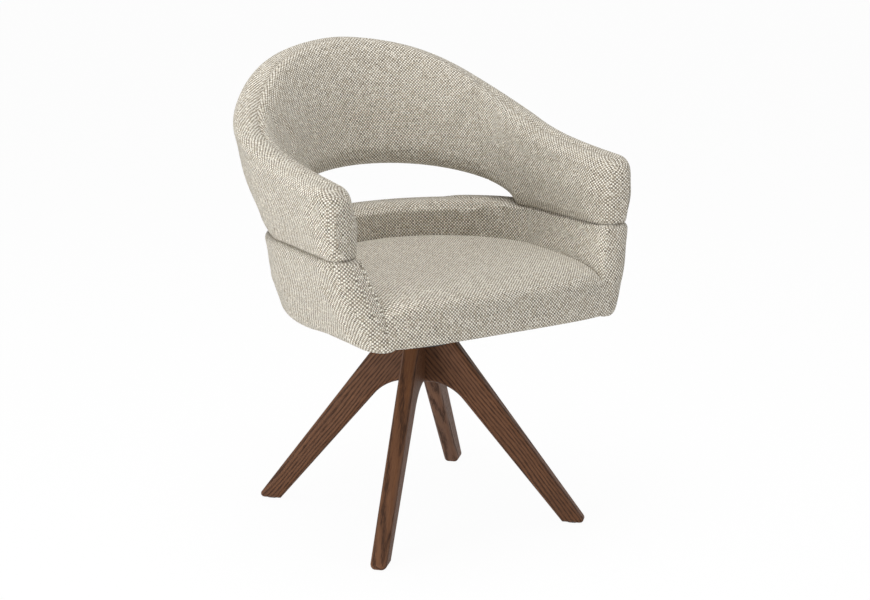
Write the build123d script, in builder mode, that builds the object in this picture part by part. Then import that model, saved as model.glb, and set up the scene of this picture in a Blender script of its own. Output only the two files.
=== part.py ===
from build123d import *
from math import atan2, cos, exp, hypot, radians, sin, sqrt
import os

# Swivel dining chair: an upholstered tub seat that turns on a base of four flat wooden legs.
# Millimetres. The floor is z = 0, the sitter faces -Y, and the origin is on the floor under
# the middle of the upholstery. The swivel axis is vertical and stands at y = swivel_y.

swivel_y = -15.0

# Legs: flat boards that lean outwards and meet in a cross
leg_thickness = 28.0
leg_edge_radius = 8.4
foot_radius = 298.0
sole_length = 43.0
leg_top_reach = 65.6
leg_top_z = 312.0
hub_underside_z = 238.0
crotch_reach = 55.4
crotch_radius = 79.0
toe_radius = 6.0
heel_radius = 18.7
leg_angles = {"back_right": 45, "back_left": 135, "front_left": 225, "front_right": 315}

# Dowels that pin the mitred inner ends of the legs to each other
dowel_diameter = 8.0
dowel_length = 24.0
dowel_heights = (252.0, 288.0)
dowel_stagger = 14.0

# Foot glides and their nails
glide_height = 1.5
glide_length = 18.0
glide_width = 11.0
glide_inset = 26.0
nail_diameter = 2.4
nail_length = 15.0
nail_head_diameter = 5.0
nail_head_thickness = 0.5

# Swivel: housing on the legs, ball race, top plate under the seat board
housing_plate_diameter = 116.0
housing_plate_thickness = 4.0
tube_diameter = 46.0
nut_room_diameter = 34.0
nut_room_height = 18.0
race_diameter = 112.0
race_thickness = 4.0
lower_race_z = 352.0
ball_diameter = 8.0
ball_count = 16
ball_ring_radius = 44.0
ball_clearance = 0.1
race_gap = 4.0
cage_thickness = 1.6
cage_width = 13.0
race_skirt_wall = 5.0
race_hole_diameter = 44.0
top_plate_size = 200.0
top_plate_thickness = 4.0
top_plate_corner = 14.0
pivot_diameter = 16.0
pivot_clearance = 0.05
thread_chamfer = 1.0
pivot_flange_diameter = 40.0
pivot_flange_thickness = 4.0
bushing_wall = 3.0
thread_diameter = 12.0
washer_diameter = 28.0
washer_thickness = 2.0
washer_gap = 0.3
nut_across_flats = 19.0
nut_thickness = 7.0
thread_overhang = 2.5
housing_screw_diameter = 4.0
housing_screw_length = 26.0
screw_head_diameter = 8.0
screw_head_height = 2.6
housing_screw_radii = (30.0, 46.0)

# Bolts and tee nuts that hold the top plate to the seat board
bolt_spacing = 160.0
bolt_diameter = 6.0
bolt_head_diameter = 11.0
bolt_head_height = 3.6
bolt_socket = 4.0
bolt_socket_depth = 2.2
tee_length = 12.0
tee_barrel_diameter = 8.0
tee_flange_diameter = 18.0
tee_flange_thickness = 1.5

# Seat board and its rail
board_bottom_z = 384.0
board_thickness = 15.0
rail_depth = 18.0
rail_front_y = -247.0
board_fit = 1.2
board_relief = 5.0
pan_screw_diameter = 4.0
pan_screw_length = 36.0
pan_screw_sink = 1.2
pan_screw_shares = (0.13, 0.26, 0.38, 0.62, 0.74, 0.87)

# Dust cover and its staples
cover_thickness = 0.8
cover_inset = 3.0
plate_window = 6.0
staple_length = 9.0
staple_wire_width = 1.0
staple_wire_height = 0.5
staple_leg = 7.0
staple_count = 20
staple_inset = 9.0
staple_end_share = 0.06

# Upholstery. Each plan line is a U seen from above, open at the front:
# half width, rearmost y, y where the back begins to round, radius of that rounding,
# half width at the front end, y of the front end. All to the outer face of the padding.
wall_low_plan = (254.5, 189.0, -59.0, 190.0, 241.0, -277.0)
wall_high_plan = (291.0, 190.0, -51.0, 200.0, 297.0, -232.0)
band_top_plan = (297.0, 293.0, 52.0, 212.0, 298.0, -233.0)
wall_bottom_z = 377.6
joint_z = 522.0
joint_gap = 0.4
skin_depth = 31.0
wall_thickness_low = 50.0
wall_thickness_high = 64.0
band_thickness = 62.0
padding_crown = 5.0
low_outer_radius = 30.0
low_inner_radius = 10.0
joint_edge_radius = 12.0
slot_edge_radius = 21.0
edge_room = 0.45
trim_size = 700.0
trim_height = 30.0
top_edge_radius = 25.0
wall_nose_radius = 42.0
band_nose_radius = 31.0
nose_shares = (0.0035, 0.010, 0.020, 0.036)
body_shares = (0.062, 0.11, 0.165, 0.22, 0.275, 0.33, 0.385, 0.44)

# Back and arm band: height of its top edge, and the slot under its back
arm_front_z = 631.0
arm_rise = 38.0
back_rise = 141.0
shoulder_share = 0.41
shoulder_softness = 0.102
arm_corner_radius = 38.0
slot_top_z = 585.5
slot_half_share = 0.555
slot_sharpness = 0.8
slot_setback = 38.0
band_foot_in = 8.5

# Bent plywood frames inside the padding
frame_thickness = 15.0
frame_low_cover = 4.0
frame_joint_cover = 14.0
frame_top_cover = 25.0
lower_frame_end = 0.03
back_frame_end = 0.05

# Steel studs that carry the band on the lower wall
stud_diameter = 8.0
stud_length = 72.0
stud_shares = (0.09, 0.165)

# Seat cushion: crowned top, sides drawn in, soft front edge.
# Each level: height, inset from the wall's inner face, y of the front edge.
cushion_gap = 2.0
cushion_levels = (
    (379.0, 7.0, -271.0),
    (390.0, 1.0, -279.0),
    (424.0, 0.0, -283.0),
    (444.0, 0.0, -276.0),
    (457.0, 8.0, -257.0),
    (465.0, 34.0, -217.0),
    (470.0, 92.0, -145.0),
)
cushion_front_radius = 9.0
cushion_front_bow = 3.0
cushion_lift = 0.2

os.makedirs("parts", exist_ok=True)

board_top_z = board_bottom_z + board_thickness
rail_back_y = rail_front_y + rail_depth


# Plan lines


def between(low, high, share):
    # A set of sizes part of the way from one set to another
    return tuple(a + (b - a) * share for a, b in zip(low, high))


def inset_plan(plan, distance):
    half_width, back_y, side_y, corner_radius, front_half_width, front_y = plan
    return (
        half_width - distance,
        back_y - distance,
        side_y,
        corner_radius - distance,
        front_half_width - distance,
        front_y,
    )


def plan_points(plan):
    # The U of a plan: where its arcs meet, with a point on each arc of the right side
    half_width, back_y, side_y, corner_radius, front_half_width, front_y = plan
    rise = back_y - side_y
    corner_x = half_width - corner_radius
    back_radius = (rise**2 + corner_x**2 - corner_radius**2) / (2 * (rise - corner_radius))
    turn = atan2(side_y - back_y + back_radius, corner_x)
    join_x = corner_x + corner_radius * cos(turn)
    join_y = side_y + corner_radius * sin(turn)
    middle_x = corner_x + corner_radius * cos(turn / 2)
    middle_y = side_y + corner_radius * sin(turn / 2)
    return join_x, join_y, middle_x, middle_y


def plan_line(plan):
    # Two straight sides, two rounded back corners and a flatter arc across the back
    half_width, back_y, side_y, corner_radius, front_half_width, front_y = plan
    join_x, join_y, middle_x, middle_y = plan_points(plan)
    with BuildLine() as line:
        Line((-front_half_width, front_y), (-half_width, side_y))
        ThreePointArc((-half_width, side_y), (-middle_x, middle_y), (-join_x, join_y))
        ThreePointArc((-join_x, join_y), (0, back_y), (join_x, join_y))
        ThreePointArc((join_x, join_y), (middle_x, middle_y), (half_width, side_y))
        Line((half_width, side_y), (front_half_width, front_y))
    return line.wire()


def along(wire, share):
    return wire.position_at(share * wire.length, position_mode=PositionMode.LENGTH)


def outward_at(wire, share):
    # Level direction that points out of the U at a share of the way round
    heading = wire.tangent_at(share * wire.length, position_mode=PositionMode.LENGTH)
    return Vector(-heading.Y, heading.X, 0).normalized()


wall_low_line = plan_line(inset_plan(wall_low_plan, skin_depth))
wall_high_line = plan_line(inset_plan(wall_high_plan, skin_depth))
band_top_line = plan_line(inset_plan(band_top_plan, skin_depth))


def from_back(share):
    # 0 at the middle of the back, 1 at either front end
    return abs(2 * share - 1)


def slot_rise(share):
    # How far the slot has opened at a share of the way round: 1 at the middle of the back
    reach = 1 - (from_back(share) / slot_half_share) ** 2
    return max(reach, 0) ** slot_sharpness


def band_top_z(share):
    away = from_back(share)
    shoulder = back_rise / (1 + exp((away - shoulder_share) / shoulder_softness))
    return arm_front_z + arm_rise * (1 - away) + shoulder


def wall_ends(share):
    # Lowest and highest point of the wall's frame surface
    low = along(wall_low_line, share)
    high = along(wall_high_line, share)
    return Vector(low.X, low.Y, wall_bottom_z), Vector(high.X, high.Y, joint_z)


def band_ends(share):
    # Lowest and highest point of the band's frame surface
    offset = slot_setback * slot_rise(share) - band_foot_in
    setback = outward_at(wall_high_line, share) * offset
    low = along(wall_high_line, share) + setback
    low_z = joint_z + joint_gap + (slot_top_z - joint_z) * slot_rise(share)
    high = along(band_top_line, share)
    return Vector(low.X, low.Y, low_z), Vector(high.X, high.Y, band_top_z(share))


def section_plane(low, high, outward):
    # Plane through both ends, local X level and outwards, local Y up along the padding
    rise = high - low
    upward = (rise - outward * rise.dot(outward)).normalized()
    return Plane(origin=(low + high) * 0.5, x_dir=outward, z_dir=outward.cross(upward))


def section_size(low, high, outward):
    # Height of a section in its own plane, and how far its top stands outside its foot
    rise = high - low
    lean = rise.dot(outward)
    return (rise - outward * lean).length, lean


def padding_section(low, high, outward, inner_low, inner_high, outer, low_radii, high_radius):
    # A padded section: level top and foot, leaning crowned faces and rounded edges
    height, lean = section_size(low, high, outward)
    half = height / 2
    foot = -lean / 2
    top = lean / 2
    low_inner, low_outer = low_radii
    crown_inner = (inner_low + inner_high) / 2 + padding_crown
    crown_outer = outer + padding_crown
    low_fit = min((inner_low + outer) * edge_room * 2 / (low_outer + low_inner), 1)
    high_room = (inner_high + outer) * edge_room
    with BuildSketch(section_plane(low, high, outward)) as section:
        with BuildLine():
            Line((foot - inner_low, -half), (foot + outer, -half))
            ThreePointArc((foot + outer, -half), (crown_outer, 0), (top + outer, half))
            Line((top + outer, half), (top - inner_high, half))
            ThreePointArc((top - inner_high, half), (-crown_inner, 0), (foot - inner_low, -half))
        make_face()
        low_corners = section.vertices().group_by(Axis.Y)[0].sort_by(Axis.X)
        fillet(low_corners[0], radius=low_inner * low_fit)
        fillet(low_corners[-1], radius=low_outer * low_fit)
        fillet(section.vertices().group_by(Axis.Y)[-1], radius=min(high_radius, high_room))
    return section.sketch


def frame_section(low, high, outward, low_cover, high_cover):
    # A plain plywood section on the frame surface, set in from both ends
    upward = (high - low).normalized()
    low = low + upward * low_cover
    high = high - upward * high_cover
    height, lean = section_size(low, high, outward)
    half = height / 2
    inner = -frame_thickness / 2
    outer = frame_thickness / 2
    with BuildSketch(section_plane(low, high, outward)) as section:
        with BuildLine():
            Polyline(
                (inner - lean / 2, -half),
                (outer - lean / 2, -half),
                (outer + lean / 2, half),
                (inner + lean / 2, half),
                close=True,
            )
        make_face()
    return section.sketch


def lost_to_rounding(distance, radius):
    # How far a rounded end has drawn in at a distance from its tip
    if distance >= radius:
        return 0.0
    return radius * (1 - sqrt(1 - (1 - distance / radius) ** 2))


def both_sides(shares):
    # Stations from one front end round to the other, the middle of the back included
    ordered = sorted(shares)
    return ordered + [0.5] + [1 - share for share in reversed(ordered)]


def crest_radius(share):
    # Edges are tighter where band and wall meet, softer along the slot
    return joint_edge_radius + (slot_edge_radius - joint_edge_radius) * slot_rise(share)


def wall_sections():
    # Only the outer side rounds at the front ends: the inner side runs on along the cushion
    inner_low = wall_thickness_low - skin_depth
    inner_high = wall_thickness_high - skin_depth
    low_radii = (low_inner_radius, low_outer_radius)
    sections = []
    for share in both_sides(nose_shares + body_shares):
        low, high = wall_ends(share)
        distance = min(share, 1 - share) * wall_low_line.length
        outer = skin_depth - lost_to_rounding(distance, wall_nose_radius)
        outward = outward_at(wall_low_line, share)
        crest = crest_radius(share)
        section = padding_section(
            low, high, outward, inner_low, inner_high, outer, low_radii, crest
        )
        sections.append(section)
    return sections


def band_sections():
    # The band's front ends are full rounds with a rounded top corner
    inner_full = band_thickness - skin_depth
    sections = []
    for share in both_sides(nose_shares + body_shares):
        low, high = band_ends(share)
        distance = min(share, 1 - share) * band_top_line.length
        side_loss = lost_to_rounding(distance, band_nose_radius)
        upward = (high - low).normalized()
        low = low + upward * lost_to_rounding(distance, joint_edge_radius)
        high = high - upward * lost_to_rounding(distance, arm_corner_radius)
        inner = inner_full - side_loss
        outer = skin_depth - side_loss
        outward = outward_at(band_top_line, share)
        crest = crest_radius(share)
        section = padding_section(
            low, high, outward, inner, inner, outer, (crest, crest), top_edge_radius
        )
        sections.append(section)
    return sections


def lower_frame_sections():
    sections = []
    for share in both_sides((lower_frame_end, *body_shares)):
        low, high = wall_ends(share)
        outward = outward_at(wall_low_line, share)
        sections.append(frame_section(low, high, outward, frame_low_cover, frame_joint_cover))
    return sections


def back_frame_sections():
    sections = []
    for share in both_sides((back_frame_end, *body_shares)):
        low, high = band_ends(share)
        outward = outward_at(band_top_line, share)
        sections.append(frame_section(low, high, outward, frame_joint_cover, frame_top_cover))
    return sections


def pan_outline(distance, front_y, z):
    # The seat board's outline, drawn in by a distance and cut off straight at the front
    share = (board_bottom_z - wall_bottom_z) / (joint_z - wall_bottom_z)
    plan = between(wall_low_plan, wall_high_plan, share)
    plan = inset_plan(plan, skin_depth + frame_thickness / 2 + distance)
    front_half_width = plan[4]
    low_y = plan[5]
    with BuildSketch(Plane.XY.offset(z)) as outline:
        with BuildLine():
            add(plan_line(plan))
            Line((front_half_width, low_y), (-front_half_width, low_y))
        make_face()
        with Locations((0, front_y)):
            Rectangle(
                trim_size, trim_size, align=(Align.CENTER, Align.MIN), mode=Mode.INTERSECT
            )
    return outline.sketch


def cushion_section(z, inset, front_y):
    # One level of the cushion: it follows the wall's inner face and bows at the front
    share = (z - wall_bottom_z) / (joint_z - wall_bottom_z)
    thickness = wall_thickness_low + (wall_thickness_high - wall_thickness_low) * share
    plan = between(wall_low_plan, wall_high_plan, share)
    plan = inset_plan(plan, thickness + padding_crown + cushion_gap + inset)
    half_width, back_y, side_y, corner_radius, front_half_width, low_y = plan
    reach = (side_y - front_y) / (side_y - low_y)
    front_half_width = half_width + (front_half_width - half_width) * reach
    corner_y = front_y + cushion_front_bow
    plan = (half_width, back_y, side_y, corner_radius, front_half_width, corner_y)
    with BuildSketch(Plane.XY.offset(z)) as section:
        with BuildLine():
            add(plan_line(plan))
            ThreePointArc((front_half_width, corner_y), (0, front_y), (-front_half_width, corner_y))
        make_face()
        fillet(section.vertices().group_by(Axis.Y)[0], radius=cushion_front_radius)
    return section.sketch


# Directions and planes of the base


def from_swivel(angle, radius, z=0.0):
    return Vector(radius * cos(radians(angle)), swivel_y + radius * sin(radians(angle)), z)


def leg_plane(angle):
    # Local X runs out along the leg and local Y is up
    turn = radians(angle)
    return Plane(
        origin=(0, swivel_y, 0), x_dir=(cos(turn), sin(turn), 0), z_dir=(sin(turn), -cos(turn), 0)
    )


def swivel_plane(z):
    return Plane(origin=(0, swivel_y, z), x_dir=(1, 0, 0), z_dir=(0, 0, 1))


def dowel_planes():
    # Each mitre has its dowels across it, at heights that clear those of its neighbours
    reach = leg_thickness / 2 / sqrt(2)
    planes = []
    for index in range(4):
        mitre = 90 * index
        lift = dowel_stagger * (index % 2)
        across = (-sin(radians(mitre)), cos(radians(mitre)), 0)
        for height in dowel_heights:
            planes.append(Plane(origin=from_swivel(mitre, reach, height + lift), z_dir=across))
    return planes


# Pins and screws of the base

with BuildPart() as leg_dowels:
    with BuildSketch(*dowel_planes()):
        Circle(dowel_diameter / 2)
    extrude(amount=dowel_length / 2, both=True)
leg_dowels.part.label = "leg_dowels"
export_step(leg_dowels.part, "parts/leg_dowels.step")

glide_radius = foot_radius - glide_inset
nail_head_z = glide_height / 2

with BuildPart() as glide_nails:
    with BuildSketch(swivel_plane(nail_head_z)):
        with PolarLocations(glide_radius, 4, start_angle=45):
            Circle(nail_diameter / 2)
    extrude(amount=nail_length)
    with BuildSketch(swivel_plane(nail_head_z)):
        with PolarLocations(glide_radius, 4, start_angle=45):
            Circle(nail_head_diameter / 2)
    extrude(amount=-nail_head_thickness)
glide_nails.part.label = "glide_nails"
export_step(glide_nails.part, "parts/glide_nails.step")

housing_plate_z = leg_top_z + housing_plate_thickness

with BuildPart() as housing_screws:
    for radius in housing_screw_radii:
        with BuildSketch(swivel_plane(housing_plate_z)):
            with PolarLocations(radius, 4, start_angle=45):
                Circle(housing_screw_diameter / 2)
        extrude(amount=-housing_screw_length)
        with BuildSketch(swivel_plane(housing_plate_z)):
            with PolarLocations(radius, 4, start_angle=45):
                Circle(screw_head_diameter / 2)
        extrude(amount=screw_head_height)
housing_screws.part.label = "housing_screws"
export_step(housing_screws.part, "parts/housing_screws.step")

# Legs

heel_x = foot_radius - sole_length

for place, angle in leg_angles.items():
    with BuildPart() as leg:
        with BuildSketch(leg_plane(angle)) as board:
            with BuildLine():
                Polyline(
                    (0, leg_top_z),
                    (leg_top_reach, leg_top_z),
                    (foot_radius, glide_height),
                    (heel_x, glide_height),
                    (crotch_reach, hub_underside_z),
                    (0, hub_underside_z),
                    close=True,
                )
            make_face()
            by_x = board.vertices().sort_by(Axis.X)
            fillet(by_x[-1], radius=toe_radius)
            fillet(by_x[-2], radius=heel_radius)
            crotch = board.vertices().group_by(Axis.Y)[-2].sort_by(Axis.X)[-1]
            fillet(crotch, radius=crotch_radius)
        extrude(amount=leg_thickness / 2, both=True)
        across = leg_plane(angle).z_dir
        sides = leg.faces().filter_by(lambda face: abs(face.normal_at().dot(across)) > 0.99)
        low_edges = sides.edges().filter_by(lambda edge: edge.center().Z < leg_top_z - 1)
        hub_reach = leg_thickness / 2 + 1
        long_edges = low_edges.filter_by(
            lambda edge: hypot(edge.center().X, edge.center().Y - swivel_y) > hub_reach
        )
        fillet(long_edges, radius=leg_edge_radius)
        with BuildSketch(swivel_plane(0)):
            with BuildLine(mode=Mode.PRIVATE) as wedge:
                far = foot_radius * 2
                start = (far * cos(radians(angle - 45)), far * sin(radians(angle - 45)))
                end = (far * cos(radians(angle + 45)), far * sin(radians(angle + 45)))
                Polyline((0, 0), start, end, close=True)
            make_face(wedge.edges())
        extrude(amount=leg_top_z + 1, mode=Mode.INTERSECT)
        add(leg_dowels.part, mode=Mode.SUBTRACT)
        add(glide_nails.part, mode=Mode.SUBTRACT)
        add(housing_screws.part, mode=Mode.SUBTRACT)
    leg.part.label = f"leg_{place}"
    export_step(leg.part, f"parts/leg_{place}.step")

for place, angle in leg_angles.items():
    with BuildPart() as glide:
        with BuildSketch(swivel_plane(0)):
            with PolarLocations(glide_radius, 1, start_angle=angle):
                SlotOverall(glide_length, glide_width)
        extrude(amount=glide_height)
        with BuildSketch(swivel_plane(0)):
            with PolarLocations(glide_radius, 1, start_angle=angle):
                Circle(nail_head_diameter / 2)
        extrude(amount=nail_head_z, mode=Mode.SUBTRACT)
        add(glide_nails.part, mode=Mode.SUBTRACT)
    glide.part.label = f"glide_{place}"
    export_step(glide.part, f"parts/glide_{place}.step")
print("legs done")

# Swivel

lower_race_top = lower_race_z + race_thickness
upper_race_z = lower_race_top + race_gap
upper_race_top = upper_race_z + race_thickness
ball_z = lower_race_top + race_gap / 2
groove_radius = ball_diameter / 2 + ball_clearance
top_plate_z = board_bottom_z - top_plate_thickness
flange_z = top_plate_z - pivot_flange_thickness
nut_room_top = leg_top_z + nut_room_height
bushing_diameter = pivot_diameter + 2 * (pivot_clearance + bushing_wall)

# The ring that the balls sweep, used to cut both raceways
with BuildPart() as raceway:
    with Locations(Location((0, swivel_y, ball_z))):
        Torus(ball_ring_radius, groove_radius)

with BuildPart() as swivel_housing:
    with BuildSketch(swivel_plane(leg_top_z)):
        Circle(housing_plate_diameter / 2)
    extrude(amount=housing_plate_thickness)
    with BuildSketch(swivel_plane(leg_top_z)):
        Circle(tube_diameter / 2)
    extrude(amount=lower_race_z - leg_top_z)
    with BuildSketch(swivel_plane(lower_race_z)):
        Circle(race_diameter / 2)
    extrude(amount=race_thickness)
    with BuildSketch(swivel_plane(leg_top_z)):
        Circle(nut_room_diameter / 2)
    extrude(amount=nut_room_height, mode=Mode.SUBTRACT)
    with BuildSketch(swivel_plane(nut_room_top)):
        Circle(bushing_diameter / 2)
    extrude(amount=lower_race_top - nut_room_top, mode=Mode.SUBTRACT)
    add(raceway.part, mode=Mode.SUBTRACT)
    add(housing_screws.part, mode=Mode.SUBTRACT)
swivel_housing.part.label = "swivel_housing"
export_step(swivel_housing.part, "parts/swivel_housing.step")

with BuildPart() as housing_bushing:
    with BuildSketch(swivel_plane(nut_room_top)):
        Circle(bushing_diameter / 2)
        Circle(pivot_diameter / 2 + pivot_clearance, mode=Mode.SUBTRACT)
    extrude(amount=lower_race_top - nut_room_top)
housing_bushing.part.label = "housing_bushing"
export_step(housing_bushing.part, "parts/housing_bushing.step")

with BuildPart() as bearing_balls:
    with Locations(Location((0, swivel_y, ball_z))):
        with PolarLocations(ball_ring_radius, ball_count):
            Sphere(ball_diameter / 2)
bearing_balls.part.label = "bearing_balls"
export_step(bearing_balls.part, "parts/bearing_balls.step")

with BuildPart() as ball_cage:
    with BuildSketch(swivel_plane(ball_z - cage_thickness / 2)):
        Circle(ball_ring_radius + cage_width / 2)
        Circle(ball_ring_radius - cage_width / 2, mode=Mode.SUBTRACT)
        with PolarLocations(ball_ring_radius, ball_count):
            Circle(ball_diameter / 2 + ball_clearance, mode=Mode.SUBTRACT)
    extrude(amount=cage_thickness)
ball_cage.part.label = "ball_cage"
export_step(ball_cage.part, "parts/ball_cage.step")

with BuildPart() as upper_race:
    with BuildSketch(swivel_plane(upper_race_z)):
        Circle(race_diameter / 2)
        Circle(race_hole_diameter / 2, mode=Mode.SUBTRACT)
    extrude(amount=race_thickness)
    with BuildSketch(swivel_plane(upper_race_top)):
        Circle(race_diameter / 2)
        Circle(race_diameter / 2 - race_skirt_wall, mode=Mode.SUBTRACT)
    extrude(amount=top_plate_z - upper_race_top)
    add(raceway.part, mode=Mode.SUBTRACT)
upper_race.part.label = "upper_race"
export_step(upper_race.part, "parts/upper_race.step")

nut_top = nut_room_top - washer_gap - washer_thickness
thread_end = nut_top - nut_thickness - thread_overhang

with BuildPart() as pivot_shaft:
    with BuildSketch(swivel_plane(flange_z)):
        Circle(pivot_flange_diameter / 2)
    extrude(amount=pivot_flange_thickness)
    with BuildSketch(swivel_plane(nut_room_top - washer_gap)):
        Circle(pivot_diameter / 2)
    extrude(amount=flange_z - nut_room_top + washer_gap)
    with BuildSketch(swivel_plane(thread_end)):
        Circle(thread_diameter / 2)
    extrude(amount=nut_room_top - washer_gap - thread_end)
    chamfer(pivot_shaft.edges().group_by(Axis.Z)[0], length=thread_chamfer)
pivot_shaft.part.label = "pivot_shaft"
export_step(pivot_shaft.part, "parts/pivot_shaft.step")

with BuildPart() as pivot_washer:
    with BuildSketch(swivel_plane(nut_top)):
        Circle(washer_diameter / 2)
        Circle(thread_diameter / 2, mode=Mode.SUBTRACT)
    extrude(amount=washer_thickness)
pivot_washer.part.label = "pivot_washer"
export_step(pivot_washer.part, "parts/pivot_washer.step")

with BuildPart() as pivot_nut:
    with BuildSketch(swivel_plane(nut_top)):
        RegularPolygon(nut_across_flats / 2, 6, major_radius=False)
        Circle(thread_diameter / 2, mode=Mode.SUBTRACT)
    extrude(amount=-nut_thickness)
pivot_nut.part.label = "pivot_nut"
export_step(pivot_nut.part, "parts/pivot_nut.step")

# Bolts and tee nuts of the top plate

tee_barrel_bottom = board_top_z - tee_length

with BuildPart() as top_plate_bolts:
    with BuildSketch(swivel_plane(top_plate_z)):
        with GridLocations(bolt_spacing, bolt_spacing, 2, 2):
            Circle(bolt_diameter / 2)
    extrude(amount=board_top_z - top_plate_z)
    with BuildSketch(swivel_plane(top_plate_z)):
        with GridLocations(bolt_spacing, bolt_spacing, 2, 2):
            Circle(bolt_head_diameter / 2)
    extrude(amount=-bolt_head_height)
    with BuildSketch(swivel_plane(top_plate_z - bolt_head_height)):
        with GridLocations(bolt_spacing, bolt_spacing, 2, 2):
            RegularPolygon(bolt_socket / 2, 6, major_radius=False)
    extrude(amount=bolt_socket_depth, mode=Mode.SUBTRACT)
top_plate_bolts.part.label = "top_plate_bolts"
export_step(top_plate_bolts.part, "parts/top_plate_bolts.step")

with BuildPart() as swivel_top_plate:
    with BuildSketch(swivel_plane(top_plate_z)):
        RectangleRounded(top_plate_size, top_plate_size, top_plate_corner)
    extrude(amount=top_plate_thickness)
    add(top_plate_bolts.part, mode=Mode.SUBTRACT)
swivel_top_plate.part.label = "swivel_top_plate"
export_step(swivel_top_plate.part, "parts/swivel_top_plate.step")

with BuildPart() as tee_nuts:
    with BuildSketch(swivel_plane(tee_barrel_bottom)):
        with GridLocations(bolt_spacing, bolt_spacing, 2, 2):
            Circle(tee_barrel_diameter / 2)
    extrude(amount=tee_length)
    with BuildSketch(swivel_plane(board_top_z)):
        with GridLocations(bolt_spacing, bolt_spacing, 2, 2):
            Circle(tee_flange_diameter / 2)
    extrude(amount=-tee_flange_thickness)
    with BuildSketch(swivel_plane(tee_barrel_bottom)):
        with GridLocations(bolt_spacing, bolt_spacing, 2, 2):
            Circle(bolt_diameter / 2)
    extrude(amount=tee_length, mode=Mode.SUBTRACT)
tee_nuts.part.label = "tee_nuts"
export_step(tee_nuts.part, "parts/tee_nuts.step")
print("swivel done")

# Screws of the lower frame, studs and staples

pan_mid_z = board_bottom_z + board_thickness / 2
pan_mid_share = (pan_mid_z - wall_bottom_z) / (joint_z - wall_bottom_z)

with BuildPart() as pan_screws:
    for share in pan_screw_shares:
        low, high = wall_ends(share)
        middle = low + (high - low) * pan_mid_share
        outward = outward_at(wall_low_line, share)
        head_face = middle + outward * (frame_thickness / 2 - pan_screw_sink)
        with BuildSketch(Plane(origin=head_face, z_dir=outward)):
            Circle(screw_head_diameter / 2)
        extrude(amount=-screw_head_height)
        with BuildSketch(Plane(origin=head_face, z_dir=outward)):
            Circle(pan_screw_diameter / 2)
        extrude(amount=-pan_screw_length)
pan_screws.part.label = "pan_screws"
export_step(pan_screws.part, "parts/pan_screws.step")

with BuildPart() as pan_screw_holes:
    # Each hole runs on out through the face of the frame, so that its screw can go in
    for share in pan_screw_shares:
        low, high = wall_ends(share)
        middle = low + (high - low) * pan_mid_share
        outward = outward_at(wall_low_line, share)
        head_face = middle + outward * (frame_thickness / 2 - pan_screw_sink)
        with BuildSketch(Plane(origin=head_face, z_dir=outward)):
            Circle(screw_head_diameter / 2)
        extrude(amount=pan_screw_sink * 3)

with BuildPart() as arm_studs:
    for share in stud_shares + tuple(1 - share for share in stud_shares):
        low, joint = wall_ends(share)
        high = band_ends(share)[1]
        lean = ((joint - low).normalized() + (high - joint).normalized()).normalized()
        with BuildSketch(Plane(origin=joint, z_dir=lean)):
            Circle(stud_diameter / 2)
        extrude(amount=stud_length / 2, both=True)
arm_studs.part.label = "arm_studs"
export_step(arm_studs.part, "parts/arm_studs.step")

with BuildPart() as cover_staples:
    staple_wire = inset_plan(
        between(wall_low_plan, wall_high_plan, pan_mid_share),
        skin_depth + frame_thickness / 2 + cover_inset + staple_inset,
    )
    staple_line = plan_line(staple_wire)
    for index in range(staple_count):
        share = staple_end_share + (1 - 2 * staple_end_share) * index / (staple_count - 1)
        place = along(staple_line, share)
        heading = outward_at(staple_line, share)
        origin = (place.X, place.Y, board_bottom_z - cover_thickness)
        length_way = (heading.Y, -heading.X, 0)
        with BuildSketch(Plane(origin=origin, x_dir=length_way, z_dir=(0, 0, -1))):
            Rectangle(staple_length, staple_wire_width)
        extrude(amount=staple_wire_height)
        with BuildSketch(Plane(origin=origin, x_dir=length_way, z_dir=(0, 0, 1))):
            with GridLocations(staple_length - staple_wire_width, 0, 2, 1):
                Rectangle(staple_wire_width, staple_wire_width)
        extrude(amount=staple_leg)
cover_staples.part.label = "cover_staples"
export_step(cover_staples.part, "parts/cover_staples.step")
print("fixings done")

# Seat board and its rail

with BuildPart() as seat_board:
    extrude(pan_outline(board_fit, rail_back_y, board_bottom_z), amount=board_thickness)
    add(top_plate_bolts.part, mode=Mode.SUBTRACT)
    add(tee_nuts.part, mode=Mode.SUBTRACT)
    add(pan_screws.part, mode=Mode.SUBTRACT)
    add(cover_staples.part, mode=Mode.SUBTRACT)
seat_board.part.label = "seat_board"
export_step(seat_board.part, "parts/seat_board.step")

with BuildPart() as front_rail:
    extrude(pan_outline(board_fit, rail_front_y, board_bottom_z), amount=board_thickness)
    with BuildSketch(Plane.XY.offset(board_bottom_z)):
        with Locations((0, rail_back_y)):
            Rectangle(trim_size, trim_size, align=(Align.CENTER, Align.MIN))
    extrude(amount=board_thickness, mode=Mode.SUBTRACT)
    add(cover_staples.part, mode=Mode.SUBTRACT)
front_rail.part.label = "front_rail"
export_step(front_rail.part, "parts/front_rail.step")

with BuildPart() as dust_cover:
    cover_outline = pan_outline(cover_inset, rail_front_y + cover_inset, board_bottom_z)
    extrude(cover_outline, amount=-cover_thickness)
    with BuildSketch(swivel_plane(board_bottom_z)):
        window = top_plate_size + 2 * plate_window
        RectangleRounded(window, window, top_plate_corner + plate_window)
    extrude(amount=-cover_thickness, mode=Mode.SUBTRACT)
    add(cover_staples.part, mode=Mode.SUBTRACT)
dust_cover.part.label = "dust_cover"
export_step(dust_cover.part, "parts/dust_cover.step")
print("pan done")

# Seat cushion

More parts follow.
